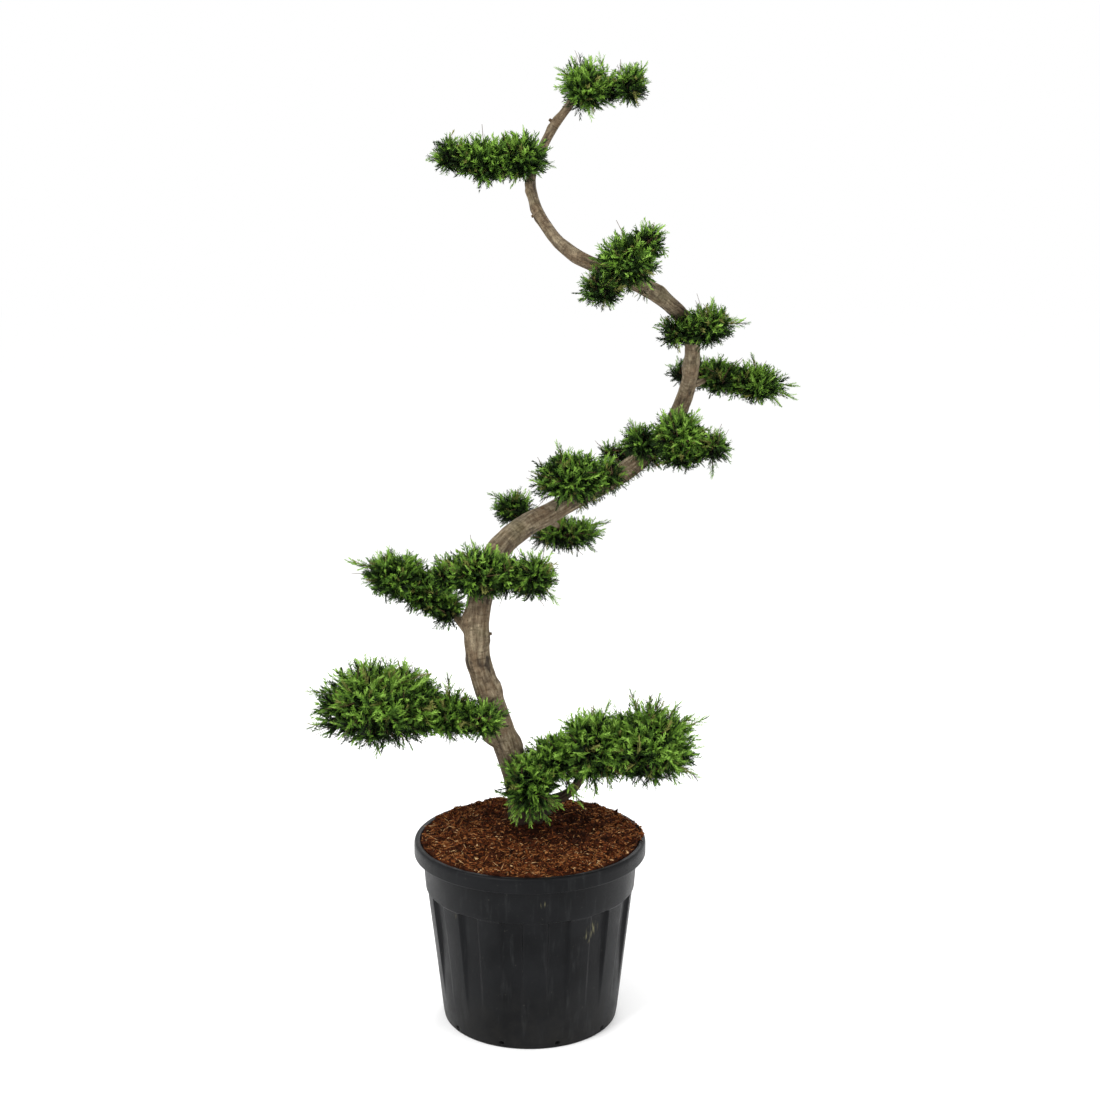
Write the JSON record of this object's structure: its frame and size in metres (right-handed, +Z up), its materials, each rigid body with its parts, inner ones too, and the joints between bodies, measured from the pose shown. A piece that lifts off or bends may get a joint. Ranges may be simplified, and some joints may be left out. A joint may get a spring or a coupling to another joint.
{
  "type": "spiral-trained conifer in a pot",
  "caption": "Evergreen conifer with a bare trunk wound in a loose spiral, clipped foliage pads along it, standing in a round plastic nursery pot.",
  "frame": {"origin": "centre of the flat underside of the pot", "axes": "+Z up along the pot's axis; -Y is the side the plant is shown from, so +X is to its right"},
  "size_m": [1.079, 0.5625, 2.123],
  "materials": {
    "pot": "black moulded plastic with a soft sheen",
    "soil": "damp red-brown bark compost",
    "bark": "greyish brown fibrous bark",
    "foliage": "fine scale-leaf sprays, fresh green tips over dark green"
  },
  "bodies": {
    "root": {"pot": "pot", "soil": "soil", "trunk": "bark", "bough_low_left": "bark", "bough_low_right": "bark", "bough_mid_left": "bark", "pad_low_left": "foliage", "pad_low_right": "foliage", "pad_mid_left": "foliage", "pad_mid_front": "foliage", "pad_arch_front": "foliage", "pad_arch_back": "foliage", "pad_arch_tuft": "foliage", "pad_turn_front": "foliage", "pad_turn_right": "foliage", "pad_turn_top": "foliage", "pad_high_front": "foliage", "pad_high_left": "foliage", "pad_top": "foliage"}
  },
  "joints": []
}
